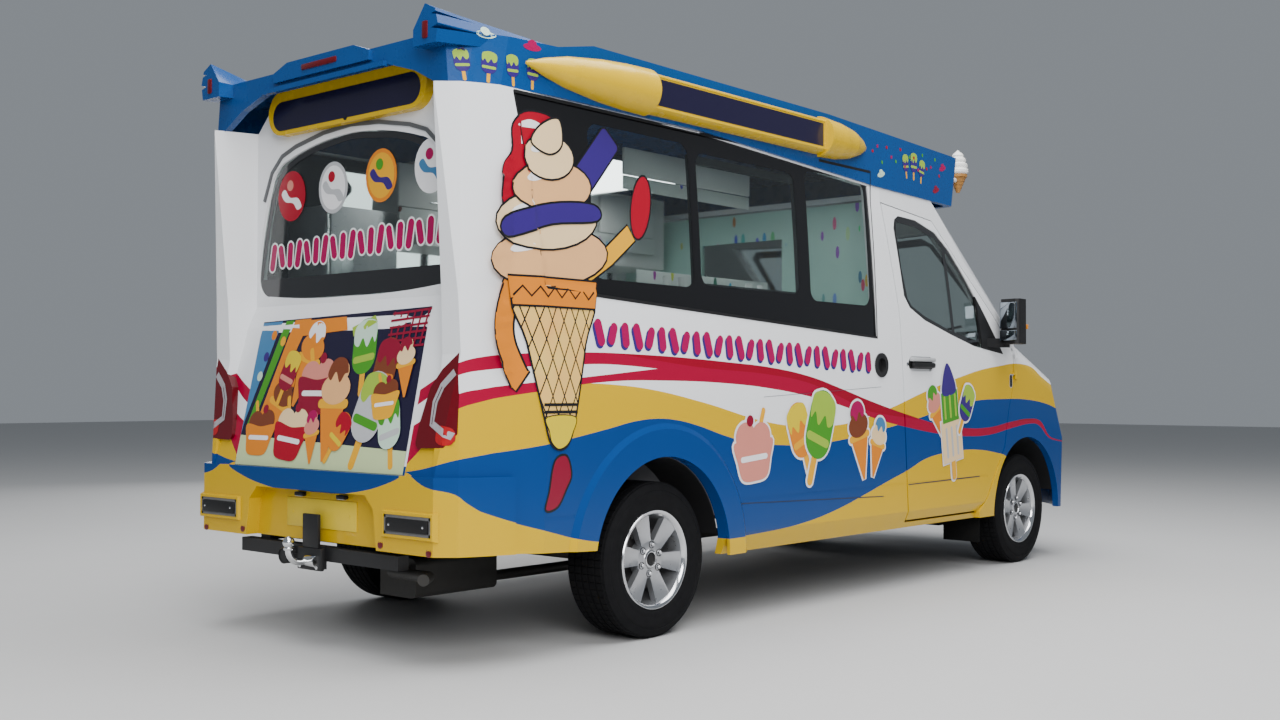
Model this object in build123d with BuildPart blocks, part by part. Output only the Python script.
from build123d import *
from math import sqrt
import os

os.makedirs("parts", exist_ok=True)

# An ice cream van on a medium-wheelbase panel van, right-hand drive, serving hatch on the right.
# X runs forward, Y to the left, Z up from the ground. All sizes are millimetres.
wheelbase = 3665
front_overhang = 1000
rear_overhang = 1170
ball_reach = 140
ball_overhang = rear_overhang + ball_reach
rear_axle_x = (ball_overhang - front_overhang - wheelbase) / 2
fixed_gap = 0.3
door_gap = 6
bonnet_gap = 9

# Stations are distances ahead of the rear axle, as measured with the front axle at its drawn station.
# With another wheelbase, what lies ahead of the serving room's middle moves with the front axle.
front_axle = 3665
stretch_station = 1000


def at(distance):
    """X of a station along the van."""
    if distance > stretch_station:
        distance = distance + wheelbase - front_axle
    return rear_axle_x + distance


# Wheels and tyres, 235 wide on 16 inch rims.
tyre_radius = 350
tyre_width = 235
rim_seat_radius = 203
rim_wall = 8
rim_lip_radius = 224
wheel_offset = 838
spoke_count = 6
hub_radius = 76
spigot_radius = 33
running_gap = 0.08
arch_radius = 464
flare_radius = 618
flare_depth = 12

# Walls of the load space and cab.
body_half_width = 1003
sill_half_width = 960
eaves_half_width = 938
sill_z = 335
sill_top_z = 430
waist_z = 1080
eaves_z = 2330
wall = 50
rear_face = -rear_overhang
rear_corner_half_width = 868
floor_z = 560

# Windscreen and cab.
cowl_z = 1420
screen_foot = 3930
cab_front = 3900
screen_bow = 147
screen_bend_y = 830
screen_corner = (225, 900)
screen_edge = (420, 975)
screen_run = 950
screen_rise = 690
cab_roof_z = 2215
door_low_z = 372
door_top_z = 2165
door_rear_low = 2153
door_rear_waist = 2095
door_rear_top = 1922
door_hinge_x = 3478
door_hinge_half_width = body_half_width + 9

# Nose.
nose_wall = 40
nose_reach = 4665
nose_shoulder_z = 800
wing_shoulder_z = 1195
bonnet_side_z = 1375
bonnet_mid_z = 1455
bonnet_half_width = 790
bonnet_fall = 0.40
nose_lean = 0.50
nose_tuck = 0.06
nose_rear = 3000

# Canopy on the roof.
canopy_half_width = 955
canopy_wall = 35
canopy_foot = 2769
canopy_foot_z = 2200
canopy_bow = 60
canopy_lean = 0.2
canopy_front_z = 2525
canopy_rear = -1130
canopy_top_z = 2540
canopy_step_z = 2585
canopy_room_z = 2500
glass_thickness = 6

# Heights of the canopy's lower edge, as distance ahead of the rear axle and height.
canopy_low_line = [(-1400, eaves_z), (300, eaves_z), (1860, 2248), (2775, 2226), (3200, 2216)]

# Outlines in the side view, as distance ahead of the rear axle and height.
door_outline = [
    (door_rear_low, door_low_z), (door_rear_waist, waist_z), (2062, 1550), (door_rear_top, door_top_z),
    (2490, 2115), (2790, 1885), (3195, 1595), (3440, 1400), (3470, 1330), (3470, 1160), (3405, 1000),
    (3345, 760),
    (3190, 560), (3110, 450), (3010, door_low_z),
]
door_window = [
    (2180, 1585), (2120, 1650), (2045, 2030), (2060, 2080), (2105, 2105), (2300, 2098), (2520, 2045),
    (2680, 1950),
    (2870, 1790), (3090, 1580), (3325, 1345), (2944, 1385), (2652, 1447), (2345, 1520),
]

# The rear corners in the side view: upright over the bumper, in at the waist and out under the canopy.
tail_line = [
    (rear_face + 5, 200), (rear_face + 5, 765), (-1095, 1250), (-1105, 1500), (rear_face, 2300),
    (rear_face, 2600),
]
side_window = [(-885, 2321), (-750, 1525), (1820, 1400), (1800, 2241), (300, 2321)]


def side_prism(points, near, far):
    """A prism with its outline in the side view, from one distance left of the middle to another."""
    with BuildPart() as prism:
        with BuildSketch(Plane.XZ.offset(-near)):
            with BuildLine():
                Polyline(*[(at(x), z) for x, z in points], close=True)
            make_face()
        extrude(amount=near - far)
    return prism.part


def span_box(x_from, x_to, y_from, y_to, z_from, z_to):
    """A box between two stations, two distances left of the middle and two heights."""
    with BuildPart() as block:
        with BuildSketch(Plane.XY.offset(z_from)):
            with Locations((at((x_from + x_to) / 2), (y_from + y_to) / 2)):
                Rectangle(x_to - x_from, y_to - y_from)
        extrude(amount=z_to - z_from)
    return block.part


def bowed_front(front, inset):
    """The left half of the cab's front line seen from above: bowed, with a bend into the side."""
    bend = screen_bend_y - inset
    ThreePointArc((at(front), 0), (at(front - screen_bow / 4), bend / 2), (at(front - screen_bow), bend))
    ThreePointArc(
        (at(front - screen_bow), bend), (at(front - screen_corner[0]), screen_corner[1] - inset),
        (at(front - screen_edge[0]), screen_edge[1] - inset),
    )


def ahead_of_screen(inset):
    """All the space in front of the windscreen's curved face, moved back by an inset."""
    foot = screen_foot - inset * sqrt(screen_run**2 + screen_rise**2) / screen_rise
    edge = at(foot - screen_edge[0])
    with BuildPart() as ahead:
        with BuildSketch(Plane.XY.offset(cowl_z)):
            with BuildLine():
                bowed_front(foot, inset)
                Polyline(
                    (edge, screen_edge[1] - inset), (edge, 1100), (at(foot + 1800), 1100),
                    (at(foot + 1800), 0),
                    (at(foot), 0),
                )
            make_face()
            mirror(about=Plane.XZ)
        extrude(amount=1700, dir=(-screen_run, 0, screen_rise))
    return ahead.part


def van_box(inset):
    """The outer form of the load space and cab, or with an inset the room inside its walls."""
    low = sill_z - inset
    high = eaves_z + 20 + inset
    side = body_half_width + 20 - inset
    corner = rear_corner_half_width - inset
    edge = at(cab_front - inset - screen_edge[0])
    with BuildPart() as box:
        with BuildSketch(Plane.YZ.offset(at(-1400))):
            with BuildLine():
                Polyline(
                    (0, high), (0, low), (sill_half_width - inset, low),
                    (body_half_width - 5 - inset, sill_top_z), (body_half_width - inset, waist_z),
                )
                ThreePointArc(
                    (body_half_width - inset, waist_z), (body_half_width - inset - 14, 1650),
                    (eaves_half_width - inset, eaves_z),
                )
                Polyline((eaves_half_width - inset, eaves_z), (eaves_half_width - inset, high), (0, high))
            make_face()
            mirror(about=Plane.YZ)
        extrude(amount=5600 + wheelbase - front_axle)
        with BuildSketch(Plane.XY.offset(low - 10)):
            with BuildLine():
                bowed_front(cab_front - inset, inset)
                Polyline((edge, screen_edge[1] - inset), (edge, side), (at(-480), side))
                ThreePointArc((at(-480), side), (at(-820), side - 40),
                              (at(rear_face + 70 + inset), corner))
                Polyline(
                    (at(rear_face + 70 + inset), corner), (at(rear_face + inset), corner - 78),
                    (at(rear_face + inset), 0), (at(cab_front - inset), 0),
                )
            make_face()
            mirror(about=Plane.XZ)
        extrude(amount=high - low + 20, mode=Mode.INTERSECT)
        add(ahead_of_screen(inset), mode=Mode.SUBTRACT)
        add(side_prism([(x + inset, z) for x, z in tail_line] + [(-1500, 2600), (-1500, 200)], 1200,
                       -1200),
            mode=Mode.SUBTRACT)
    return box.part


def nose_plan(inset):
    """The nose seen from above: upright below its shoulder and leaning back above it."""
    side = body_half_width + 30 - inset
    corner_x = at(4520 - inset)
    corner_y = 700 - inset / 2
    with BuildPart() as plan:
        for lean, rise in ((-nose_lean, 1), (-nose_tuck, -1)):
            with BuildSketch(Plane.XY.offset(nose_shoulder_z)):
                with BuildLine():
                    Polyline((at(nose_rear), 0), (at(nose_rear), side), (at(4040), side))
                    ThreePointArc((at(4040), side), (at(4345 - inset), side - 110), (corner_x, corner_y))
                    ThreePointArc((corner_x, corner_y), (at(4612 - inset), 350),
                                  (at(nose_reach - 15 - inset), 0))
                    Line((at(nose_reach - 15 - inset), 0), (at(nose_rear), 0))
                make_face()
                mirror(about=Plane.XZ)
            extrude(amount=900, dir=(lean, 0, rise))
    return plan.part


def nose_form(inset):
    """The outer form of the bonnet, wings and bumper, or with an inset the room inside them."""
    low = sill_z - 2 * inset
    side = body_half_width - inset
    lift = bonnet_fall * (3780 - nose_rear) - inset
    crown = bonnet_half_width + 70 - inset
    with BuildPart() as nose:
        with BuildSketch(Plane.YZ.offset(at(nose_rear))):
            with BuildLine():
                Polyline(
                    (0, bonnet_mid_z + lift), (0, low - 1200), (side - 5, low - 1200),
                    (side - 5, sill_top_z),
                    (side, 600), (side, wing_shoulder_z + lift),
                )
                ThreePointArc(
                    (side, wing_shoulder_z + lift), (side - 40, wing_shoulder_z + 113 + lift),
                    (crown, bonnet_side_z + lift),
                )
                ThreePointArc(
                    (crown, bonnet_side_z + lift), (crown / 2, bonnet_mid_z - 25 + lift),
                    (0, bonnet_mid_z + lift),
                )
            make_face()
            mirror(about=Plane.YZ)
        extrude(amount=2600, dir=(1, 0, -bonnet_fall))
        add(nose_plan(inset), mode=Mode.INTERSECT)
        add(span_box(nose_rear - 10, 5000, -1100, 1100, low - 1400, low), mode=Mode.SUBTRACT)
    return nose.part


def wheel_round(middle, radius, near, far):
    """A round bar across the van at one of its axles."""
    with BuildPart() as bar:
        with BuildSketch(Plane.XZ.offset(-near)):
            with Locations((at(middle), tyre_radius)):
                Circle(radius)
        extrude(amount=near - far)
    return bar.part


def above_eaves():
    """All the space over the canopy's lower edge."""
    return side_prism(canopy_low_line + [(3200, 2900), (-1400, 2900)], 1200, -1200)


def keep(name, solid):
    """Write one finished piece."""
    solid.label = name
    export_step(solid, f"parts/{name}.step")


box_out = van_box(0)
box_in = van_box(wall)
with BuildPart() as box_walls:
    add(box_out)
    add(box_in, mode=Mode.SUBTRACT)
    add(above_eaves(), mode=Mode.SUBTRACT)

nose_out = nose_form(0)
nose_in = nose_form(nose_wall)
with BuildPart() as nose_walls:
    add(nose_out)
    add(nose_in, mode=Mode.SUBTRACT)

# Outlines that several body pieces share.
tail_lamp_front = -1000
tail_lamp_outline = [
    (655, 875), (668, 968), (712, 1120), (770, 1190), (862, 1258), (868, 1090), (864, 935), (822, 880),
]
bumper_low_z = 455
rear_bumper_top_z = 765
rear_panel_front = -900
sill_front = 3010
inlet_x = 1851
inlet_z = 1252
inlet_radius = 58
left_and_right = (("left", 1), ("right", -1))

with BuildPart() as door_hole:
    add(side_prism(door_outline, 1200, 700))
    mirror(about=Plane.XZ)

# Side panels with their wheel arches, windows and the mains inlet's hole.
panel_zone = [(rear_panel_front, 300), (sill_front, 300), (sill_front, door_low_z - door_gap)]
panel_zone = panel_zone + [(x - door_gap, z) for x, z in door_outline[:4]]
panel_zone[3] = (door_rear_low - door_gap, door_low_z - door_gap)
panel_zone = panel_zone + [(door_rear_top - door_gap, 2400), (rear_panel_front, 2400)]

crease_low_z = 578
crease_high_z = 592
crease_depth = 4


def crease():
    """The two grooves pressed along each side of the body, clear of the arches' flares."""
    deep = body_half_width - 1 - crease_depth
    with BuildPart() as groove:
        for start, end in ((rear_panel_front, -580), (560, 3120)):
            add(span_box(start, end, deep, 1200, crease_low_z, crease_high_z))
        mirror(about=Plane.XZ)
    return groove.part


# The body's lower edge is higher behind the rear wheels than at the sills.
behind_wheel = [(-1300, 200), (-380, 200), (-380, 430), (rear_panel_front, bumper_low_z),
                (-1300, bumper_low_z)]

for name, side in left_and_right:
    with BuildPart() as panel:
        add(box_walls.part)
        add(side_prism(panel_zone, side * 1200, side * 700), mode=Mode.INTERSECT)
        flare_seat = (at(0), side * (body_half_width - 4), tyre_radius)
        with BuildSketch(Plane(origin=flare_seat, x_dir=(1, 0, 0), z_dir=(0, side, 0))):
            Circle(flare_radius)
        extrude(amount=flare_depth + 4, taper=62)
        add(wheel_round(0, arch_radius, side * 1200, side * 700), mode=Mode.SUBTRACT)
        add(span_box(-1200, 3200, -1200, 1200, -400, sill_z), mode=Mode.SUBTRACT)
        add(side_prism(behind_wheel, side * 1200, side * 700), mode=Mode.SUBTRACT)
        add(side_prism(side_window, side * 1200, side * 700), mode=Mode.SUBTRACT)
        add(crease(), mode=Mode.SUBTRACT)
        if side < 0:
            with BuildSketch(Plane.XZ.offset(700)):
                with Locations((at(inlet_x), inlet_z)):
                    Circle(inlet_radius)
            extrude(amount=500, mode=Mode.SUBTRACT)
    keep("side_panel_" + name, panel.part)
side_panel_right = panel

# Side glass, flush in its opening.
glass_inset = 8
with BuildPart() as glass_walls:
    add(van_box(glass_inset))
    add(van_box(glass_inset + glass_thickness), mode=Mode.SUBTRACT)
with BuildPart() as both_windows:
    add(side_prism(side_window, 1200, 700))
    mirror(about=Plane.XZ)
with BuildPart() as side_glass:
    add(glass_walls.part)
    add(both_windows.part, mode=Mode.INTERSECT)
keep("side_glass", side_glass.part)

# Sliding pane of the serving hatch, in its own frame just inside the glass.
slide_outline = [(240, 1570), (1130, 1570), (1130, 2210), (240, 2210)]
slide_light = [(280, 1610), (1090, 1610), (1090, 2170), (280, 2170)]
with BuildPart() as slide_frame:
    add(van_box(glass_inset + glass_thickness + fixed_gap))
    add(van_box(glass_inset + glass_thickness + fixed_gap + 22), mode=Mode.SUBTRACT)
    add(side_prism(slide_outline, -700, -1200), mode=Mode.INTERSECT)
    add(side_prism(slide_light, -700, -1200), mode=Mode.SUBTRACT)
keep("hatch_frame", slide_frame.part)

# Rear panel: a leaning face set in between two corner pillars.
lean_line = [(-1160, rear_bumper_top_z), (-1016, 1400), (-978, 1500), (-978, 2500)]
recess_outer = 785
recess_inner = 722
rear_window_low_z = 1525
rear_window_high_z = 2250
header_z = canopy_room_z - fixed_gap

with BuildPart() as rear_room:
    add(box_in)
    add(side_prism([(x + wall, z) for x, z in lean_line] + [(0, 2500), (0, 700)], 1100, -1100),
        mode=Mode.INTERSECT)


def rear_window_bar(shrink):
    """A bar along X with the rear window's outline."""
    with BuildPart() as bar:
        with BuildSketch(Plane.YZ.offset(at(-1400))):
            with BuildLine():
                low = rear_window_low_z + shrink
                high = rear_window_high_z - shrink
                ThreePointArc((0, low), (350, low + 4), (610 - shrink, low + 22))
                ThreePointArc((610 - shrink, low + 22), (688 - shrink, low + 55),
                              (706 - shrink, low + 125))
                ThreePointArc((706 - shrink, low + 125), (668 - shrink, 1880), (612 - shrink, high - 195))
                ThreePointArc((612 - shrink, high - 195), (565 - shrink, high - 115),
                              (480 - shrink, high - 72))
                ThreePointArc((480 - shrink, high - 72), (250, high - 20), (0, high))
                Line((0, high), (0, low))
            make_face()
            mirror(about=Plane.YZ)
        extrude(amount=700)
    return bar.part


def tailgate_recess():
    """The space behind the leaning rear face, wider at its mouth than at the face."""
    with BuildPart() as recess:
        add(side_prism(lean_line + [(-1400, 2600), (-1400, rear_bumper_top_z)], 1100, -1100))
        with BuildSketch(Plane.XY.offset(rear_bumper_top_z)):
            flare = (recess_outer - recess_inner) / (lean_line[-1][0] - rear_face)
            mouth = recess_outer + flare * (rear_face + 1400)
            Polygon(
                (at(-1400), mouth), (at(lean_line[-1][0]), recess_inner), (at(-900), recess_inner),
                (at(-900), -recess_inner), (at(lean_line[-1][0]), -recess_inner), (at(-1400), -mouth),
                align=None,
            )
        extrude(amount=2600 - rear_bumper_top_z, mode=Mode.INTERSECT)
    return recess.part


def tail_lamp_bar():
    """Two bars along X with the outlines of the tail lamps seen from behind."""
    with BuildPart() as bar:
        with BuildSketch(Plane.YZ.offset(at(-1300))):
            with BuildLine():
                Polyline(*tail_lamp_outline, close=True)
            make_face()
            fillet(vertices().group_by(Axis.Y)[0], 25)
            mirror(about=Plane.YZ)
        extrude(amount=tail_lamp_front + 1300)
    return bar.part


with BuildPart() as rear_panel:
    add(box_out)
    add(span_box(-1300, rear_panel_front, -1200, 1200, rear_bumper_top_z, eaves_z), mode=Mode.INTERSECT)
    add(rear_room.part, mode=Mode.SUBTRACT)
    add(tailgate_recess(), mode=Mode.SUBTRACT)
    with BuildSketch(Plane.YZ.offset(at(lean_line[-1][0]))):
        with BuildLine():
            Polyline((0, eaves_z - 20), (0, header_z), (450, header_z), (620, header_z - 75),
                     (recess_inner - 5, eaves_z),
                     (recess_inner - 5, eaves_z - 20), (0, eaves_z - 20))
        make_face()
        mirror(about=Plane.YZ)
    extrude(amount=40)
    add(rear_window_bar(0), mode=Mode.SUBTRACT)
    add(tail_lamp_bar(), mode=Mode.SUBTRACT)
keep("rear_panel", rear_panel.part)

# Rear window, on a leaning plane in the rear panel.
with BuildPart() as rear_window:
    add(rear_window_bar(fixed_gap))
    add(side_prism([(x + 12, z) for x, z in lean_line] + [(x + 18, z) for x, z in reversed(lean_line)],
                   900, -900),
        mode=Mode.INTERSECT)
keep("rear_window", rear_window.part)

# Rear bumper with the plate's recess and the raised blocks of the marker lamps.
bumper_proud = 24
plate_face = -1127
marker_seat = -1177
marker_thick = 20
boss_border = 20
boss_deep = 25
marker_inner = 530
marker_outer = 820
marker_low_z = 530
marker_high_z = 610
with BuildPart() as rear_bumper:
    add(van_box(-bumper_proud))
    add(span_box(-1400, rear_panel_front, -1200, 1200, bumper_low_z, rear_bumper_top_z),
        mode=Mode.INTERSECT)
    add(box_in, mode=Mode.SUBTRACT)
    with BuildSketch(Plane.YZ.offset(at(plate_face))):
        with BuildLine():
            Polyline((-475, 400), (-445, 620), (-390, 676), (390, 676), (445, 620), (475, 400),
                     close=True)
        make_face()
    extrude(amount=-200, mode=Mode.SUBTRACT)
    for side in (1, -1):
        with BuildSketch(Plane.YZ.offset(at(marker_seat))):
            with Locations((side * (marker_inner + marker_outer) / 2,
                            (marker_low_z + marker_high_z) / 2)):
                Rectangle(marker_outer - marker_inner + 2 * boss_border,
                          marker_high_z - marker_low_z + 2 * boss_border)
        extrude(amount=-boss_deep, taper=20)
        add(span_box(-1400, marker_seat, side * marker_inner, side * marker_outer, marker_low_z,
                     marker_high_z),
            mode=Mode.SUBTRACT)
keep("rear_bumper", rear_bumper.part)

# Rear lamps: two wrapped tail lamps, two oblong markers and one high brake lamp.
with BuildPart() as rear_lamps:
    add(box_out)
    add(tail_lamp_bar(), mode=Mode.INTERSECT)
    add(rear_room.part, mode=Mode.SUBTRACT)
    for side in (1, -1):
        add(span_box(marker_seat - marker_thick, marker_seat, side * marker_inner, side * marker_outer,
                     marker_low_z,
                     marker_high_z))
keep("rear_lamps", rear_lamps.part)


# Canopy: a hollow moulding round the raised roof, with a fin over each rear corner.
canopy_profile = canopy_low_line[1:] + [
    (3200, canopy_front_z - 10), (2820, canopy_front_z), (1400, 2576), (-424, canopy_step_z),
    (-640, canopy_top_z), (canopy_rear, canopy_top_z), (canopy_rear, eaves_z),
]
canopy_room = canopy_low_line[1:] + [
    (3200, canopy_front_z - 45), (1400, 2540), (-424, 2540), (-640, canopy_room_z),
    (canopy_rear + canopy_wall, canopy_room_z),
    (canopy_rear + canopy_wall, eaves_z),
]
fin_tip = -1205
fin_root = -640
fin_tip_outline = [(700, 2540), (772, 2635), (832, 2606), (850, 2545), (838, 2472), (700, 2472)]
fin_root_outline = [(700, 2530), (880, 2546), (930, 2543), (945, 2518), (938, 2505), (700, 2505)]
fin_groove_end = -930
fin_grooves = ((2588, 2566), (2532, 2530))
visor_lip_z = 2460
visor_corner_z = 2318
visor_proud = 20
plateau_top_z = 2568


def canopy_plan(inset):
    """The canopy's rounded outline seen from above."""
    half = canopy_half_width - inset
    foot = canopy_foot - inset
    with BuildPart() as plan:
        with BuildSketch(Plane.XY.offset(canopy_foot_z)):
            with BuildLine():
                Polyline((at(-1400), 0), (at(-1400), half - 255), (at(-1090), half - 95),
                         (at(-960), half - 35),
                         (at(-700), half), (at(foot - 40), half))
                ThreePointArc((at(foot - 40), half), (at(foot - 12), half - 14), (at(foot), half - 50))
                ThreePointArc((at(foot), half - 50), (at(foot + canopy_bow * 0.75), half / 2),
                              (at(foot + canopy_bow), 0))
                Line((at(foot + canopy_bow), 0), (at(-1400), 0))
            make_face()
            mirror(about=Plane.XZ)
        extrude(amount=500, dir=(canopy_lean, 0, 1))
    return plan.part


with BuildPart() as canopy_hollow:
    add(side_prism(canopy_room, 1000, -1000))
    add(canopy_plan(canopy_wall), mode=Mode.INTERSECT)

with BuildPart() as roof_canopy:
    add(side_prism(canopy_profile, 1000, -1000))
    add(canopy_plan(0), mode=Mode.INTERSECT)
    add(canopy_hollow.part, mode=Mode.SUBTRACT)
    with BuildSketch(Plane.YZ.offset(at(canopy_rear - 100))):
        with BuildLine():
            Polyline((0, 2000), (0, visor_lip_z), (440, visor_lip_z), (620, visor_lip_z - 55),
                     (790, visor_corner_z),
                     (790, 2000), (0, 2000))
        make_face()
        mirror(about=Plane.YZ)
    extrude(amount=150, mode=Mode.SUBTRACT)
    add(span_box(canopy_rear - visor_proud, canopy_rear + 5, -440, 440, visor_lip_z - 10,
                 visor_lip_z + 12))
    with BuildSketch(Plane.YZ.offset(at(canopy_rear - visor_proud))):
        with BuildLine():
            Polyline((-345, visor_lip_z + 30), (-345, 2532), (-240, plateau_top_z),
                     (240, plateau_top_z), (345, 2532),
                     (345, visor_lip_z + 30), close=True)
        make_face()
    extrude(amount=visor_proud + canopy_wall - 2)
    with BuildSketch(Plane.YZ.offset(at(canopy_rear))):
        with BuildLine():
            Polyline((-345, 2532), (-240, plateau_top_z), (240, plateau_top_z), (345, 2532), close=True)
        make_face()
    extrude(amount=260)
    for side in (1, -1):
        for station, outline in ((fin_tip, fin_tip_outline), (fin_root, fin_root_outline)):
            with BuildSketch(Plane.YZ.offset(at(station))):
                with BuildLine():
                    Polyline(*[(side * y, z) for y, z in outline], close=True)
                make_face()
        loft()
        for tip_z, end_z in fin_grooves:
            for station, outer, height, tall in ((fin_tip, 858, tip_z, 12),
                                                 (fin_groove_end, 948, end_z, 2)):
                with BuildSketch(Plane.YZ.offset(at(station))):
                    with BuildLine():
                        Polyline((side * outer, height + tall), (side * (outer - 50), height),
                                 (side * outer, height - tall), close=True)
                    make_face()
            loft(mode=Mode.SUBTRACT)
keep("roof_canopy", roof_canopy.part)

# Outlines of the nose pieces.
bonnet_rear_mid = 3985
bonnet_front_mid = 4440
bonnet_front_side = 4290
grille_half_width = 560
grille_low_z = 800
bumper_rear = 4060
shell_foot_z = 1385
wing_rear_x = 3476


def bonnet_bar(shrink):
    """A bar along Z with the bonnet's outline seen from above."""
    half = bonnet_half_width - shrink
    with BuildPart() as bar:
        with BuildSketch(Plane.XY.offset(1000)):
            with BuildLine():
                ThreePointArc((at(3850 + shrink), -half), (at(bonnet_rear_mid + shrink), 0),
                              (at(3850 + shrink), half))
                Line((at(3850 + shrink), half), (at(bonnet_front_side - shrink), half))
                ThreePointArc(
                    (at(bonnet_front_side - shrink), half), (at(bonnet_front_mid - shrink), 0),
                    (at(bonnet_front_side - shrink), -half),
                )
                Line((at(bonnet_front_side - shrink), -half), (at(3850 + shrink), -half))
            make_face()
        extrude(amount=600)
    return bar.part


# Cab shell: windscreen pillars, header, side rails over the doors and the cab roof.
cab_zone = [(door_rear_top - door_gap, 2400), (door_rear_top - door_gap, door_top_z), (2400, 1700),
            (3150, shell_foot_z), (3950, shell_foot_z), (3950, 2400)]
screen_low_z = 1450
screen_high_z = 2085
screen_low_half = 815
screen_high_half = 745


def screen_bar(shrink):
    """A bar along X with the windscreen's outline seen from the front."""
    with BuildPart() as bar:
        with BuildSketch(Plane.YZ.offset(at(2500))):
            with BuildLine():
                Polyline(
                    (0, screen_low_z + shrink), (screen_low_half - shrink, screen_low_z + shrink),
                    (screen_high_half - shrink, screen_high_z - shrink), (0, screen_high_z - shrink),
                    close=True,
                )
            make_face()
            mirror(about=Plane.YZ)
        extrude(amount=1600)
    return bar.part


with BuildPart() as cab_roof:
    add(box_out)
    add(span_box(door_rear_top, 3100, -1200, 1200, cab_roof_z - 30, cab_roof_z), mode=Mode.INTERSECT)

with BuildPart() as cab_shell:
    add(box_out)
    add(box_in, mode=Mode.SUBTRACT)
    add(cab_roof.part)
    add(side_prism(cab_zone, 1200, -1200), mode=Mode.INTERSECT)
    add(above_eaves(), mode=Mode.SUBTRACT)
    add(door_hole.part, mode=Mode.SUBTRACT)
    add(screen_bar(0), mode=Mode.SUBTRACT)
keep("cab_shell", cab_shell.part)

with BuildPart() as windscreen:
    add(ahead_of_screen(glass_inset + glass_thickness))
    add(ahead_of_screen(glass_inset), mode=Mode.SUBTRACT)
    add(screen_bar(fixed_gap), mode=Mode.INTERSECT)
keep("windscreen", windscreen.part)

# Doors, each as thick as the body wall, with a window opening and a recess for the handle.
sail_zone = [(2962, 1740), (3064, 1320), (3600, 1200), (3600, 1740)]
sail_proud = 3
sail_depth = 22
mirror_low_z = 1405
mirror_tall = 280
mirror_outline = [(3215, 1035), (3190, 1145), (3205, 1172), (3305, 1168), (3350, 1120), (3340, 1045)]
mirror_arm_outline = [(3100, 960), (3192, 960), (3215, 1003), (3300, 1060), (3235, 1060), (3115, 1003)]
handle_x = 2289
handle_z = 1266
handle_long = 282
handle_tall = 84
handle_recess = 12
hinge_heights = (1190, 1320)
hinge_tall = 24
hinge_radius = 8
hinge_pin_radius = 4


def hinge_round(side, radius, low, high):
    """A round bar on a door's hinge axis."""
    with BuildPart() as bar:
        with BuildSketch(Plane.XY.offset(low)):
            with Locations((at(door_hinge_x), side * door_hinge_half_width)):
                Circle(radius)
        extrude(amount=high - low)
    return bar.part


def hinge_leaf(side, reach, low, over_gap):
    """A hinge knuckle with its leaf, which reaches fore or aft into the body's skin."""
    outer = door_hinge_half_width + hinge_radius / 2
    skin = body_half_width + 2
    root = reach * 0.6 if over_gap else 4
    with BuildPart() as leaf:
        add(hinge_round(side, hinge_radius, low, low + hinge_tall - fixed_gap))
        with BuildSketch(Plane.XY.offset(low)):
            with BuildLine():
                Polyline((at(door_hinge_x), side * outer), (at(door_hinge_x + reach), side * outer),
                         (at(door_hinge_x + reach), side * (skin - 22)),
                         (at(door_hinge_x + root), side * (skin - 22)),
                         (at(door_hinge_x + root), side * skin), (at(door_hinge_x), side * skin),
                         close=True)
            make_face()
        extrude(amount=hinge_tall - fixed_gap)
    return leaf.part


for name, side in left_and_right:
    with BuildPart() as door_zone:
        with BuildSketch(Plane.XZ.offset(-side * 1200)):
            with BuildLine():
                Polyline(*[(at(x), z) for x, z in door_outline], close=True)
            make_face()
            offset(amount=-door_gap, kind=Kind.INTERSECTION)
        extrude(amount=side * 500)
    with BuildPart() as door:
        add(box_walls.part)
        add(door_zone.part, mode=Mode.INTERSECT)
        add(side_prism(door_window, side * 1200, side * 700), mode=Mode.SUBTRACT)
        add(crease(), mode=Mode.SUBTRACT)
        with BuildSketch(Plane.XZ.offset(-side * (body_half_width - handle_recess))):
            with Locations((at(handle_x), handle_z)):
                SlotOverall(handle_long, handle_tall)
        extrude(amount=-side * 60, mode=Mode.SUBTRACT)
        for low in hinge_heights:
            add(hinge_leaf(side, -26, low + hinge_tall + fixed_gap, True))
            add(hinge_round(side, hinge_pin_radius + running_gap, low, low + 3 * hinge_tall),
                mode=Mode.SUBTRACT)
    keep("door_" + name, door.part)
    with BuildPart() as door_glass:
        add(glass_walls.part)
        add(side_prism(door_window, side * 1200, side * 700), mode=Mode.INTERSECT)
        add(side_prism([(x - fixed_gap, z) for x, z in sail_zone], side * 1200, side * 700),
            mode=Mode.SUBTRACT)
    keep("door_glass_" + name, door_glass.part)
    with BuildPart() as sail_panel:
        with BuildSketch(Plane.XZ.offset(-side * 1200)):
            with BuildLine():
                Polyline(*[(at(x), z) for x, z in door_window], close=True)
            make_face()
            offset(amount=-fixed_gap, kind=Kind.INTERSECTION)
        extrude(amount=side * 500)
        add(side_prism(sail_zone, side * 1200, side * 700), mode=Mode.INTERSECT)
        add(van_box(-sail_proud), mode=Mode.INTERSECT)
        add(van_box(sail_depth), mode=Mode.SUBTRACT)
    with BuildPart() as door_mirror:
        with BuildSketch(Plane.XY.offset(mirror_low_z)):
            with BuildLine():
                Polyline(*[(at(x), side * y) for x, y in mirror_outline], close=True)
            make_face()
        extrude(amount=mirror_tall)
        fillet(edges().filter_by(Axis.Z), 20)
        with BuildSketch(Plane.XY.offset(mirror_low_z - 20)):
            with BuildLine():
                Polyline(*[(at(x), side * y) for x, y in mirror_arm_outline], close=True)
            make_face()
        extrude(amount=55)
        add(van_box(-fixed_gap), mode=Mode.SUBTRACT)
        add(sail_panel.part)
    keep("mirror_" + name, door_mirror.part)

# Nose pieces.
with BuildPart() as bonnet:
    add(nose_walls.part)
    add(bonnet_bar(bonnet_gap), mode=Mode.INTERSECT)
keep("bonnet", bonnet.part)

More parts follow.
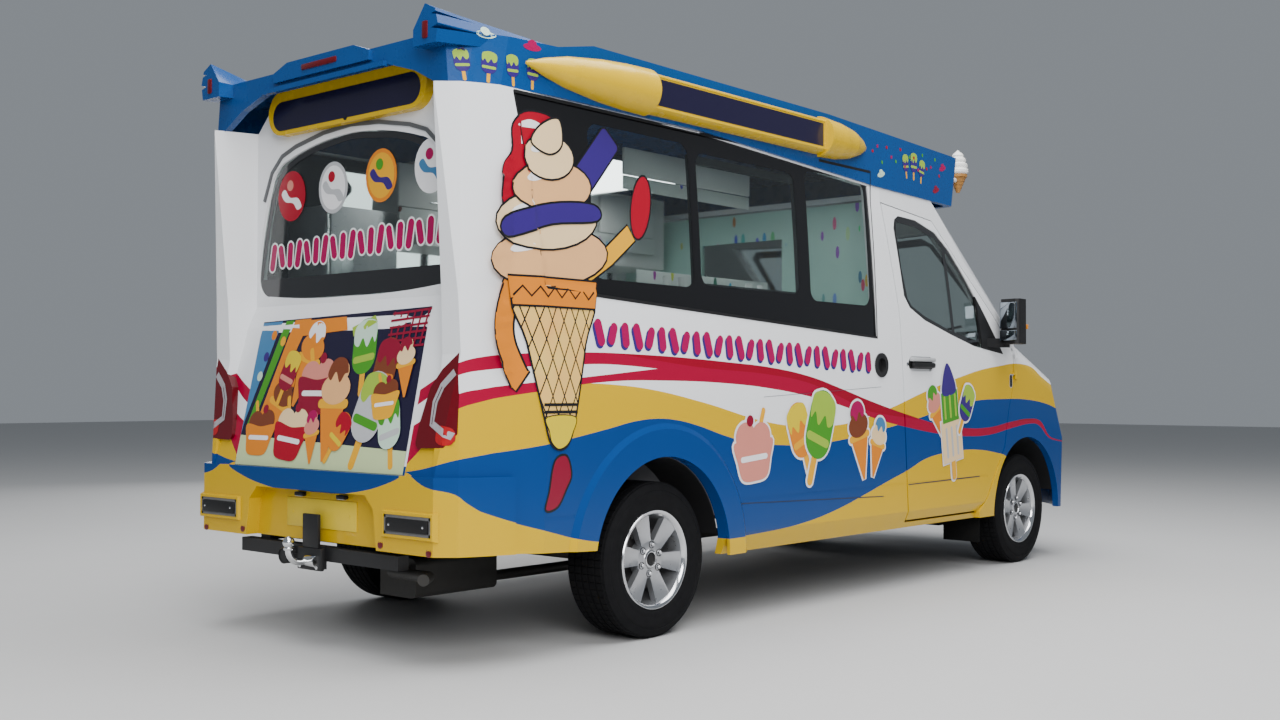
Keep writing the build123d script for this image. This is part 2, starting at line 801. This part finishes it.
lamp_outline = [(4180, 1185), (4290, 1240), (4620, 1240), (4620, 850), (4420, 850), (4290, 960)]
with BuildPart() as lamp_bars:
    add(side_prism(lamp_outline, 1200, grille_half_width))
    mirror(about=Plane.XZ)
    add(bonnet_bar(0), mode=Mode.SUBTRACT)

with BuildPart() as headlamps:
    add(nose_walls.part)
    add(lamp_bars.part, mode=Mode.INTERSECT)
keep("headlamps", headlamps.part)

# The slam panel behind the grille, with two buffers that carry the closed bonnet's front edge.
slam_half_width = 540
slam_low_z = 1060
slam_high_z = 1090
buffer_x = 4300
buffer_y = 380
grille_slots = (848, 900, 952, 1004)
grille_slot_tall = 28
grille_slot_half = 440
intake_half = 390
intake_low_z = 470
intake_high_z = 600
with BuildPart() as slam_buffers:
    with BuildSketch(Plane.XY.offset(slam_high_z - 5)):
        with Locations((at(buffer_x), buffer_y), (at(buffer_x), -buffer_y)):
            Circle(16)
    extrude(amount=200)
    add(nose_form(nose_wall + fixed_gap), mode=Mode.INTERSECT)
with BuildPart() as slam_panel:
    add(nose_form(nose_wall - 12))
    add(span_box(buffer_x - 30, 4800, -slam_half_width, slam_half_width, slam_low_z, slam_high_z),
        mode=Mode.INTERSECT)
    add(slam_buffers.part)

with BuildPart() as grille:
    add(nose_walls.part)
    add(span_box(4250, 4800, -grille_half_width, grille_half_width, grille_low_z, 1500),
        mode=Mode.INTERSECT)
    add(bonnet_bar(0), mode=Mode.SUBTRACT)
    for low in grille_slots:
        add(span_box(4300, 4800, -grille_slot_half, grille_slot_half, low, low + grille_slot_tall),
            mode=Mode.SUBTRACT)
    add(slam_panel.part)
keep("grille", grille.part)

with BuildPart() as front_bumper:
    add(nose_walls.part)
    add(span_box(bumper_rear, 4800, -1200, 1200, sill_z, grille_low_z), mode=Mode.INTERSECT)
    add(wheel_round(front_axle, arch_radius, 1200, -1200), mode=Mode.SUBTRACT)
    add(span_box(4300, 4800, -intake_half, intake_half, intake_low_z, intake_high_z), mode=Mode.SUBTRACT)
keep("front_bumper", front_bumper.part)

wing_zone = [(sill_front, sill_z)] + [(x, z) for x, z in reversed(door_outline[9:])]
wing_zone = wing_zone + [(wing_rear_x, 1330), (wing_rear_x, 1520), (3880, 1520), (4700, 1250),
                         (4700, sill_z)]
with BuildPart() as shell_foot:
    add(box_out)
    add(span_box(2900, 4100, -1200, 1200, shell_foot_z, 1700), mode=Mode.INTERSECT)
for name, side in left_and_right:
    with BuildPart() as wing:
        add(nose_walls.part)
        add(side_prism(wing_zone, side * 1200, side * bonnet_half_width), mode=Mode.INTERSECT)
        add(bonnet_bar(0), mode=Mode.SUBTRACT)
        add(lamp_bars.part, mode=Mode.SUBTRACT)
        add(span_box(4250, 4800, -grille_half_width, grille_half_width, grille_low_z, 1500),
            mode=Mode.SUBTRACT)
        add(span_box(bumper_rear, 4800, -1200, 1200, 0, grille_low_z), mode=Mode.SUBTRACT)
        add(wheel_round(front_axle, arch_radius, 1200, -1200), mode=Mode.SUBTRACT)
        add(box_in, mode=Mode.SUBTRACT)
        add(shell_foot.part, mode=Mode.SUBTRACT)
        for low in hinge_heights:
            add(hinge_leaf(side, 26, low, False))
            add(hinge_round(side, hinge_pin_radius, low, low + 2 * hinge_tall))
    keep("wing_" + name, wing.part)

with BuildPart() as scuttle:
    add(nose_walls.part)
    add(span_box(3600, 4100, -bonnet_half_width, bonnet_half_width, 1200, 1500), mode=Mode.INTERSECT)
    add(bonnet_bar(0), mode=Mode.SUBTRACT)
    add(box_out, mode=Mode.SUBTRACT)
keep("scuttle", scuttle.part)

# Floor pan with a wheelhouse over each rear wheel.
floor_skin = 40
house_inner = 690
house_skin = 8
floor_front = 3160
with BuildPart() as floor:
    add(box_in)
    add(span_box(-1200, floor_front, -1200, 1200, floor_z - floor_skin, floor_z), mode=Mode.INTERSECT)
    for side in (1, -1):
        add(wheel_round(0, arch_radius + house_skin, side * (body_half_width - wall - 8),
                        side * house_inner))
    for side in (1, -1):
        add(wheel_round(0, arch_radius, side * 1100, side * (house_inner + house_skin)),
            mode=Mode.SUBTRACT)
    add(span_box(-1300, floor_front, -1200, 1200, -200, floor_z - floor_skin), mode=Mode.SUBTRACT)
    add(span_box(floor_front - 30, floor_front, -900, 900, floor_z - 5, 1000))
    add(wheel_round(front_axle, arch_radius + 20, 1100, 480), mode=Mode.SUBTRACT)
    add(wheel_round(front_axle, arch_radius + 20, -480, -1100), mode=Mode.SUBTRACT)
keep("floor", floor.part)

# Front wheelhouse liners.
liner_skin = 6
liner_inner = 700
with BuildPart() as wheel_liners:
    for side in (1, -1):
        add(wheel_round(front_axle, arch_radius + liner_skin, side * body_half_width, side * liner_inner))
        add(wheel_round(front_axle, arch_radius, side * 1100, side * 600), mode=Mode.SUBTRACT)
    add(nose_form(nose_wall + fixed_gap), mode=Mode.INTERSECT)
    add(span_box(2900, 4500, -1200, 1200, -200, 450), mode=Mode.SUBTRACT)
keep("wheel_liners", wheel_liners.part)

# Chassis frame: two rails with cross-members under the floor.
rail_y = 430
rail_width = 70
rail_low_z = 430
rail_high_z = floor_z - floor_skin
rail_rear = -1095
rail_front = 4330
cross_stations = (-1050, -620, 640, 1400, 2300, 3050, 4290)
with BuildPart() as chassis_frame:
    for side in (1, -1):
        add(span_box(rail_rear, rail_front, side * rail_y - rail_width / 2,
                     side * rail_y + rail_width / 2,
                     rail_low_z, rail_high_z))
    for station in cross_stations:
        add(span_box(station - 35, station + 35, -rail_y, rail_y, rail_low_z + 15, rail_high_z - 10))
keep("chassis_frame", chassis_frame.part)

# Rear beam axle with a brake drum and a hub spigot at each end.
drum_radius = 140
beam_radius = 40
with BuildPart() as rear_axle:
    add(wheel_round(0, beam_radius, wheel_offset - 60, -(wheel_offset - 60)))
    for side in (1, -1):
        add(wheel_round(0, drum_radius, side * (wheel_offset - 85), side * (wheel_offset - 5)))
        add(wheel_round(0, spigot_radius - running_gap, side * (wheel_offset - 5),
                        side * (wheel_offset + 60)))
keep("rear_axle", rear_axle.part)

# Leaf springs over the rear axle, clamped to it, with their ends at the rails' outer faces.
spring_y = 520
spring_width = 70
spring_half = 640
spring_leaf = 12
with BuildPart() as leaf_springs:
    for side in (1, -1):
        with BuildSketch(Plane.XZ.offset(-(side * spring_y + spring_width / 2))):
            with BuildLine():
                eye_z = rail_low_z + 30
                seat_z = tyre_radius + beam_radius
                ThreePointArc((at(-spring_half), eye_z), (at(0), seat_z), (at(spring_half), eye_z))
                Line((at(spring_half), eye_z), (at(spring_half), eye_z + 2 * spring_leaf))
                ThreePointArc(
                    (at(spring_half), eye_z + 2 * spring_leaf), (at(0), seat_z + 2 * spring_leaf),
                    (at(-spring_half), eye_z + 2 * spring_leaf),
                )
                Line((at(-spring_half), eye_z + 2 * spring_leaf), (at(-spring_half), eye_z))
            make_face()
            with Locations((at(-spring_half), eye_z + spring_leaf),
                           (at(spring_half), eye_z + spring_leaf)):
                Circle(24)
        extrude(amount=spring_width)
        for end in (-spring_half, spring_half):
            near = side * (rail_y + rail_width / 2 + fixed_gap)
            add(span_box(end - 30, end + 30, min(near, side * (spring_y + 34)),
                         max(near, side * (spring_y + 34)),
                         eye_z, rail_high_z - fixed_gap))
        add(span_box(-55, 55, side * spring_y - 34, side * spring_y + 34, seat_z, seat_z + 45))
keep("leaf_springs", leaf_springs.part)

# Steering axis of the front wheels, leaning in at the top.
pin_low_y = 725
pin_low_z = 250
pin_high_y = 555
pin_high_z = 950
pin_lean = (pin_low_y - pin_high_y) / (pin_high_z - pin_low_z)
strut_radius = 26


def pin_y(height):
    """Distance of the steering axis from the middle at one height."""
    return pin_low_y - (height - pin_low_z) * pin_lean


# Front subframe: cross-member, lower arms, towers for the struts and the drive shafts.
tower_top_z = 925
pin_slant = sqrt(1 + pin_lean**2)
strut_top_z = tower_top_z - fixed_gap - strut_radius * pin_lean / pin_slant
with BuildPart() as front_subframe:
    add(span_box(front_axle - 160, front_axle + 160, -rail_y - 20, rail_y + 20, 215, 265))
    for side in (1, -1):
        with BuildSketch(Plane.XY.offset(225)):
            with BuildLine():
                Polyline((at(front_axle - 170), side * 440), (at(front_axle + 170), side * 440),
                         (at(front_axle + 34), side * (pin_low_y - 20)),
                         (at(front_axle - 34), side * (pin_low_y - 20)),
                         close=True)
            make_face()
            with Locations((at(front_axle), side * (pin_low_y - 14))):
                Circle(36)
        extrude(amount=22)
        low_side = side * (rail_y - 30)
        add(span_box(front_axle - 150, front_axle - 90, min(low_side, side * 450),
                     max(low_side, side * 450), 240,
                     rail_low_z - fixed_gap))
        add(span_box(front_axle + 90, front_axle + 150, min(low_side, side * 450),
                     max(low_side, side * 450), 240,
                     rail_low_z - fixed_gap))
keep("front_subframe", front_subframe.part)

with BuildPart() as strut_towers:
    for side in (1, -1):
        inner = side * (rail_y + rail_width / 2 + fixed_gap)
        add(span_box(front_axle - 70, front_axle + 70, min(inner, side * 478), max(inner, side * 478),
                     rail_low_z + 10,
                     tower_top_z + 12))
        add(span_box(front_axle - 70, front_axle + 70, min(inner, side * 640), max(inner, side * 640),
                     tower_top_z,
                     tower_top_z + 12))
keep("strut_towers", strut_towers.part)

# Steering knuckles, each with its strut, brake disc and hub spigot.
disc_radius = 140
for name, side in left_and_right:
    with BuildPart() as knuckle:
        add(wheel_round(front_axle, disc_radius, side * (wheel_offset - 35), side * (wheel_offset - 7)))
        add(wheel_round(front_axle, 60, side * (pin_y(tyre_radius) - 20), side * (wheel_offset - 30)))
        add(wheel_round(front_axle, spigot_radius - running_gap, side * (wheel_offset - 10),
                        side * (wheel_offset + 60)))
        foot = (at(front_axle), side * pin_y(tyre_radius - 75), tyre_radius - 75)
        with BuildSketch(Plane(origin=foot, x_dir=(1, 0, 0), z_dir=(0, -side * pin_lean, 1))):
            Circle(strut_radius)
        extrude(amount=(strut_top_z - tyre_radius + 75) * pin_slant)
    keep("knuckle_" + name, knuckle.part)

# Wheels: six broad spokes in a dished rim, and a tyre with rounded shoulders.
disc_back = 42
disc_front = 74
lip_depth = 112
pocket_inner = 88
pocket_outer = 186
corners = (
    ("front_left", front_axle, 1), ("front_right", front_axle, -1), ("rear_left", 0, 1),
    ("rear_right", 0, -1),
)
for name, station, side in corners:
    middle = (at(station), side * wheel_offset, tyre_radius)
    wheel_plane = Plane(origin=middle, x_dir=(1, 0, 0), z_dir=(0, side, 0))
    across = Plane(origin=middle, x_dir=(0, 0, 1), z_dir=(1, 0, 0))
    with BuildPart() as rim:
        with BuildSketch(across):
            with BuildLine():
                out = -side
                Polyline(
                    (rim_seat_radius, -out * lip_depth * 0.9), (rim_lip_radius, -out * lip_depth * 0.9),
                    (rim_lip_radius, -out * lip_depth), (rim_seat_radius - rim_wall, -out * lip_depth),
                    (rim_seat_radius - rim_wall - 12, 0), (rim_seat_radius - rim_wall, out * lip_depth),
                    (rim_lip_radius, out * lip_depth), (rim_lip_radius, out * lip_depth * 0.9),
                    (rim_seat_radius, out * lip_depth * 0.9), close=True,
                )
            make_face()
        revolve(axis=Axis(middle, (0, 1, 0)))
        with BuildSketch(wheel_plane.offset(disc_back)):
            Circle(rim_seat_radius - rim_wall - 4)
        extrude(amount=disc_front - disc_back)
        with BuildSketch(wheel_plane.offset(0)):
            Circle(hub_radius)
        extrude(amount=disc_front - 6)
        with BuildSketch(wheel_plane.offset(disc_back)):
            with PolarLocations(0, spoke_count):
                Polygon((pocket_inner, -12), (pocket_outer, -52), (pocket_outer, 52), (pocket_inner, 12),
                        align=None)
            fillet(vertices(), 9)
        extrude(amount=disc_front, mode=Mode.SUBTRACT)
        with BuildSketch(wheel_plane.offset(0)):
            Circle(spigot_radius)
        extrude(amount=disc_front, mode=Mode.SUBTRACT)
    keep("rim_" + name, rim.part)
    with BuildPart() as tyre:
        with BuildSketch(across):
            with BuildLine():
                half = tyre_width / 2
                bead = rim_seat_radius + fixed_gap
                tread_half = half - 22
                wall_side = [(bead, half - 20), (rim_lip_radius + 1, half - 20),
                             (rim_lip_radius + 6, half - 8),
                             (258, half - 1), (292, half), (tyre_radius - 22, half - 5),
                             (tyre_radius - 8, half - 11), (tyre_radius, tread_half)]
                Polyline(*wall_side, *[(r, -y) for r, y in reversed(wall_side)], close=True)
            make_face()
        revolve(axis=Axis(middle, (0, 1, 0)))
    keep("tyre_" + name, tyre.part)

# Engine and gearbox as one block on the subframe, with an output shaft to each front wheel.
with BuildPart() as engine_block:
    add(span_box(front_axle - 120, front_axle + 500, -340, 340, 265 + fixed_gap, 900))
    add(wheel_round(front_axle, 18, 640, -640))
keep("engine_block", engine_block.part)

# Exhaust: pipe under the rear axle, silencer and tail pipe to the right rear corner.
pipe_radius = 24
pipe_z = 250
with BuildPart() as exhaust:
    with BuildLine() as run:
        Polyline(
            (at(front_axle - 120 - fixed_gap), 180, 330), (at(3300), 180, pipe_z), (at(700), 180, pipe_z),
            (at(400), -250, pipe_z), (at(-450), -250, pipe_z),
        )
    with BuildSketch(Plane(origin=run.line @ 0, z_dir=run.line % 0)):
        Circle(pipe_radius)
    sweep(path=run.line, transition=Transition.RIGHT)
    add(span_box(-900, -430, -370, -130, 215, 385))
    fillet(edges().filter_by(Axis.X).group_by(Axis.Y)[0], 30)
    with BuildLine() as tail:
        Polyline((at(-890), -300, 330), (at(-960), -300, 330), (at(-1060), -640, 350),
                 (at(-1135), -700, 350))
    with BuildSketch(Plane(origin=tail.line @ 0, z_dir=tail.line % 0)):
        Circle(pipe_radius)
    sweep(path=tail.line, transition=Transition.RIGHT)
    add(span_box(-625, -615, -270, -230, 380, rail_low_z + 15 - fixed_gap))
    add(engine_block.part, mode=Mode.SUBTRACT)
keep("exhaust", exhaust.part)

with BuildPart() as fuel_tank:
    add(span_box(850, 1850, 490, 880, 330, floor_z - floor_skin - fixed_gap))
    fillet(edges().filter_by(Axis.X), 45)
keep("fuel_tank", fuel_tank.part)

# Tow bar: a cross beam on the rails' ends, a neck and a 50 mm ball.
ball_radius = 25
ball_z = 462
with BuildPart() as tow_bar:
    add(span_box(-1150, rail_rear - fixed_gap, -560, 560, 375, 435))
    for side in (1, -1):
        add(span_box(rear_face + wall + 8, rail_rear - fixed_gap, side * rail_y - 35,
                     side * rail_y + 35, 400, rail_high_z - 5))
    add(span_box(-1165, -1140, -70, 70, 340, 440))
    with BuildLine() as neck:
        FilletPolyline(
            (at(-1160), 0, 375), (at(-(ball_overhang - ball_radius)), 0, 375),
            (at(-(ball_overhang - ball_radius)), 0, ball_z), radius=55,
        )
    with BuildSketch(Plane(origin=neck.line @ 0, z_dir=neck.line % 0)):
        Circle(14)
    sweep(path=neck.line)
    with Locations((at(-(ball_overhang - ball_radius)), 0, ball_z)):
        Sphere(ball_radius)
keep("tow_bar", tow_bar.part)

# Cab fittings, inside the room that the walls leave.
with BuildPart() as room_fit:
    add(van_box(wall + fixed_gap))

dash_low_z = 1000
dash_high_z = 1372
with BuildPart() as dashboard:
    with BuildSketch(Plane.XZ.offset(-890)):
        with BuildLine():
            Polyline((at(3160), dash_low_z + fixed_gap), (at(3130), 1100), (at(3190), 1290),
                     (at(3300), dash_high_z),
                     (at(3690), dash_high_z), (at(3690), dash_low_z + fixed_gap), close=True)
        make_face()
    extrude(amount=1780)
    add(room_fit.part, mode=Mode.INTERSECT)
keep("dashboard", dashboard.part)

helm_plane = Plane(origin=(at(3010), -430, 1190), x_dir=(0, 1, 0), z_dir=(-0.9, 0, 0.44))
with BuildPart() as steering_wheel:
    with BuildSketch(Plane(origin=helm_plane.origin, x_dir=helm_plane.x_dir, z_dir=helm_plane.y_dir)):
        with Locations((185, 0)):
            RegularPolygon(16, 8)
    revolve(axis=Axis(helm_plane.origin, helm_plane.z_dir))
    with BuildSketch(helm_plane.offset(-12)):
        Circle(55)
        with PolarLocations(0, 3, start_angle=90):
            with Locations((100, 0)):
                Rectangle(170, 30)
    extrude(amount=20)
    with BuildSketch(helm_plane.offset(-10)):
        Circle(28)
    extrude(amount=-150)
    add(dashboard.part, mode=Mode.SUBTRACT)
keep("steering_wheel", steering_wheel.part)

seat_places = ((-640, -200), (-80, 340), (350, 800))
with BuildPart() as seats:
    for low, high in seat_places:
        add(span_box(2440, 2840, low + 30, high - 30, floor_z + fixed_gap, 800))
        add(span_box(2390, 2910, low, high, 795, 940))
        with BuildSketch(Plane.XZ.offset(-low)):
            with BuildLine():
                Polyline((at(2410), 930), (at(2520), 930), (at(2370), 1560), (at(2280), 1560), close=True)
            make_face()
        extrude(amount=-(high - low))
        middle = (low + high) / 2
        with BuildSketch(Plane.XZ.offset(-(middle - 120))):
            with BuildLine():
                Polyline((at(2295), 1550), (at(2375), 1550), (at(2345), 1745), (at(2265), 1745),
                         close=True)
            make_face()
        extrude(amount=-240)
keep("seats", seats.part)

# Serving room: bulkhead, worktops with cupboards below, wall cupboards and the soft-serve machine.
bulkhead_x = 1925
with BuildPart() as bulkhead:
    add(room_fit.part)
    add(span_box(bulkhead_x - 25, bulkhead_x, -1100, 1100, floor_z + fixed_gap, cab_roof_z - 45),
        mode=Mode.INTERSECT)
    add(span_box(bulkhead_x - 100, bulkhead_x + 100, -300, 300, 0, 2000), mode=Mode.SUBTRACT)
keep("bulkhead", bulkhead.part)

worktop_z = 1365
unit_depth = 400
unit_front = 1720
house_top = tyre_radius + arch_radius + house_skin
with BuildPart() as kitchen_units:
    for side in (1, -1):
        inner = side * (body_half_width - wall - unit_depth)
        outer = side * 1100
        low_y = min(inner, outer)
        high_y = max(inner, outer)
        add(span_box(arch_radius + 30, unit_front, low_y, high_y, floor_z + fixed_gap, worktop_z - 5))
        add(span_box(-700, unit_front, low_y, high_y, house_top + 5, worktop_z - 5))
        add(span_box(-720, unit_front + 20, min(inner - side * 20, outer),
                     max(inner - side * 20, outer), worktop_z - 35,
                     worktop_z))
    add(span_box(-150, 1820, 540, 1100, 1860, 2290))
    add(room_fit.part, mode=Mode.INTERSECT)
keep("kitchen_units", kitchen_units.part)

with BuildPart() as ice_machine:
    add(span_box(-690, -250, 560, 900, worktop_z + fixed_gap, 2010))
    fillet(edges().filter_by(Axis.Z), 25)
    add(span_box(-600, -340, 470, 570, 1640, 1800))
    for station in (-540, -400):
        with BuildSketch(Plane.XY.offset(1580)):
            with Locations((at(station), 510)):
                Circle(22)
        extrude(amount=70)
    add(span_box(-640, -300, 440, 570, worktop_z + fixed_gap, worktop_z + 25))
    add(room_fit.part, mode=Mode.INTERSECT)
keep("ice_machine", ice_machine.part)

# Signs: a rocket-shaped box on each side of the canopy and a round-ended box over the rear window.
pod_z = 2440
pod_radius = 106
pod_body_radius = 94
pod_flat = 58
pod_panel_depth = 4
pod_panel_half = 68
pod_tail = -830
pod_body_rear = -95
pod_body_front = 1290
pod_nose = 1760
pod_profile = [(pod_tail, 0), (pod_tail, 6), (-720, 40), (-600, 67), (-400, 92), (-250, 102),
               (pod_body_rear, pod_radius), (pod_body_rear, pod_body_radius),
               (pod_body_front, pod_body_radius),
               (pod_body_front, pod_radius), (1450, 98), (1580, 80), (1680, 50), (1740, 22),
               (pod_nose, 0)]
rear_sign_z = 2390
rear_sign_long = 1135
rear_sign_tall = 206
rear_sign_deep = 45
with BuildPart() as sign_boxes:
    for side in (1, -1):
        seat = side * (canopy_half_width + fixed_gap)
        with BuildSketch(Plane.XY.offset(pod_z)):
            with BuildLine():
                Polyline(*[(at(x), seat + side * r) for x, r in pod_profile], close=True)
            make_face()
        revolve(axis=Axis((at(0), seat, pod_z), (1, 0, 0)))
        flat = seat + side * pod_flat
        add(span_box(pod_body_rear, pod_body_front, flat, flat + side * 100, pod_z - 150, pod_z + 150),
            mode=Mode.SUBTRACT)
        inset = flat - side * pod_panel_depth
        add(span_box(pod_body_rear + 12, pod_body_front - 12, inset, flat, pod_z - pod_panel_half,
                     pod_z + pod_panel_half), mode=Mode.SUBTRACT)
    add(span_box(-1200, 2000, -canopy_half_width - fixed_gap, canopy_half_width + fixed_gap, 2300, 2600),
        mode=Mode.SUBTRACT)
    with BuildSketch(Plane.YZ.offset(at(lean_line[-1][0] - fixed_gap))):
        with Locations((0, rear_sign_z)):
            SlotOverall(rear_sign_long, rear_sign_tall)
    extrude(amount=-rear_sign_deep)
keep("sign_boxes", sign_boxes.part)

# Two cone models on the canopy's front.
cone_x = 3060
cone_y = 830
cone_arm_x = 2808
cone_arm_z = 2430
cone_arm_radius = 14
cone_profile = [
    (0, 2355), (10, 2355), (50, 2450), (58, 2452), (58, 2470), (50, 2476), (62, 2500), (66, 2530),
    (56, 2560),
    (48, 2568), (46, 2590), (24, 2612), (0, 2625),
]
with BuildPart() as roof_cones:
    for side in (1, -1):
        with BuildSketch(Plane(origin=(at(cone_x), side * cone_y, 0), x_dir=(1, 0, 0), z_dir=(0, -1, 0))):
            with BuildLine():
                Polyline(*cone_profile, close=True)
            make_face()
        revolve(axis=Axis((at(cone_x), side * cone_y, 0), (0, 0, 1)))
        with BuildSketch(Plane.YZ.offset(at(cone_arm_x))):
            with Locations((side * cone_y, cone_arm_z)):
                Circle(cone_arm_radius)
        extrude(amount=cone_x - cone_arm_x)
    add(roof_canopy.part, mode=Mode.SUBTRACT)
keep("roof_cones", roof_cones.part)

# Mains inlet in the right side panel: a flanged cup with a round socket.
socket_radius = 40
socket_depth = 30
inlet_face = -(body_half_width + 6)
with BuildPart() as mains_inlet:
    with BuildSketch(Plane.XZ.offset(-inlet_face)):
        with Locations((at(inlet_x), inlet_z)):
            Circle(inlet_radius + 9)
    extrude(amount=-9)
    with BuildSketch(Plane.XZ.offset(-inlet_face)):
        with Locations((at(inlet_x), inlet_z)):
            Circle(inlet_radius - fixed_gap)
    extrude(amount=-52)
    add(side_panel_right.part, mode=Mode.SUBTRACT)
    with BuildSketch(Plane.XZ.offset(-inlet_face)):
        with Locations((at(inlet_x), inlet_z)):
            Circle(socket_radius)
    extrude(amount=-socket_depth, mode=Mode.SUBTRACT)
keep("mains_inlet", mains_inlet.part)
